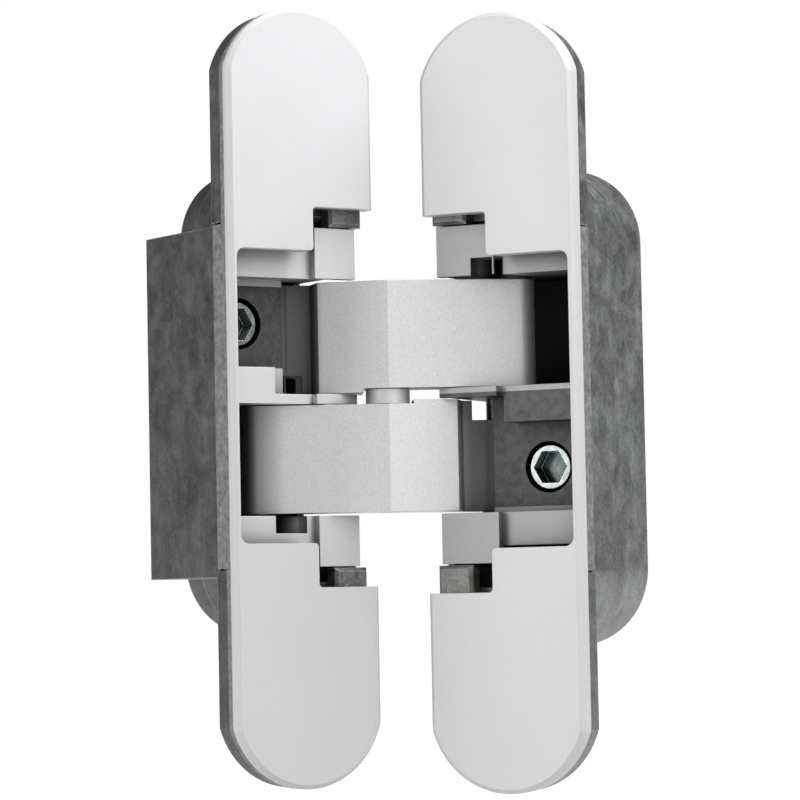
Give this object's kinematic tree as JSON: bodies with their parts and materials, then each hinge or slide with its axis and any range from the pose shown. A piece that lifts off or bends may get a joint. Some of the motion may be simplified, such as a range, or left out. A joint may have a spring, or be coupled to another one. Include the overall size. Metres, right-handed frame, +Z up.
{
  "type": "concealed door hinge",
  "caption": "Concealed hinge with two mortised bodies joined by crossing arms; the arms fold into both bodies as the door closes, with height and depth adjusters.",
  "frame": {"origin": "middle of the fixing holes of the left (frame side) body, on the back of its flange", "axes": "+Z up along the body, +Y into the door frame, +X towards the other body"},
  "size_m": [0.0628, 0.0511, 0.1127],
  "materials": {
    "cover_paint": "satin silver paint",
    "arm_paint": "satin silver paint",
    "block_paint": "matt grey paint",
    "cast_zinc": "raw die cast",
    "plated_steel": "zinc plated",
    "pin_steel": "ground",
    "bearing_plastic": "moulded"
  },
  "bodies": {
    "left_body": {"left_cover": "cover_paint", "left_housing": "cast_zinc"},
    "left_clamp_pair": {"left_clamps": "cast_zinc", "left_clamp_screws": "plated_steel"},
    "left_block": {"left_carrier": "block_paint", "left_pivot_pin": "pin_steel"},
    "left_adjuster": {"left_adjusting_screw": "plated_steel"},
    "upper_link": {"upper_arm": "arm_paint", "centre_pin": "pin_steel", "centre_washer": "pin_steel", "left_pivot_bush": "bearing_plastic", "right_slide_pin": "pin_steel", "right_slide_shoe": "bearing_plastic"},
    "lower_link": {"lower_arm": "arm_paint", "right_pivot_bush": "bearing_plastic", "left_slide_pin": "pin_steel", "left_slide_shoe": "bearing_plastic"},
    "right_block": {"right_carrier": "block_paint", "right_pivot_pin": "pin_steel"},
    "right_adjuster": {"right_adjusting_screw": "plated_steel"},
    "right_clamp_pair": {"right_clamps": "cast_zinc", "right_clamp_screws": "plated_steel"},
    "right_body": {"right_cover": "cover_paint", "right_housing": "cast_zinc"}
  },
  "joints": [
    {"name": "left_height", "type": "slide", "parent": "left_body", "child": "left_clamp_pair", "axis": [0, 0, 1], "range_m": [-0.0017, 0.0013]},
    {"name": "left_depth", "type": "slide", "parent": "left_clamp_pair", "child": "left_block", "axis": [0, 1, 0], "range_m": [-0.0007, 0.0007]},
    {"name": "left_adjuster_turn", "type": "hinge", "parent": "left_block", "child": "left_adjuster", "pos_m": [-0.0057, 0.0065, 0.0109], "axis": [0, 1, 0], "range_deg": [-252, 252]},
    {"name": "upper_arm_pivot", "type": "hinge", "parent": "left_block", "child": "upper_link", "pos_m": [0.0036, 0.0089, 0.0002], "axis": [0, 0, -1], "range_deg": [-24, 48]},
    {"name": "arm_crossing", "type": "hinge", "parent": "upper_link", "child": "lower_link", "pos_m": [0.01488, -0.00396, 0.0002], "axis": [0, 0, -1], "range_deg": [-12, 24]},
    {"name": "lower_arm_pivot", "type": "hinge", "parent": "lower_link", "child": "right_block", "pos_m": [0.03166, -0.0073, 0.0002], "axis": [0, 0, -1], "range_deg": [-24, 48]},
    {"name": "right_adjuster_turn", "type": "hinge", "parent": "right_block", "child": "right_adjuster", "pos_m": [0.03498, -0.01785, -0.0105], "axis": [0.866, 0.5, 0], "range_deg": [-252, 252]},
    {"name": "right_depth", "type": "slide", "parent": "right_block", "child": "right_clamp_pair", "axis": [0.866, 0.5, 0], "range_m": [-0.0007, 0.0007]},
    {"name": "right_height", "type": "slide", "parent": "right_clamp_pair", "child": "right_body", "axis": [0, 0, 1], "range_m": [-0.0001, 0.0029]}
  ],
  "couplings": [
    {"joint": "arm_crossing", "follows": "upper_arm_pivot", "ratio": 0.5},
    {"joint": "lower_arm_pivot", "follows": "upper_arm_pivot", "ratio": 1},
    {"joint": "left_adjuster_turn", "follows": "left_depth", "rad_per_m": 6283.2},
    {"joint": "right_adjuster_turn", "follows": "right_depth", "rad_per_m": 6283.2}
  ]
}
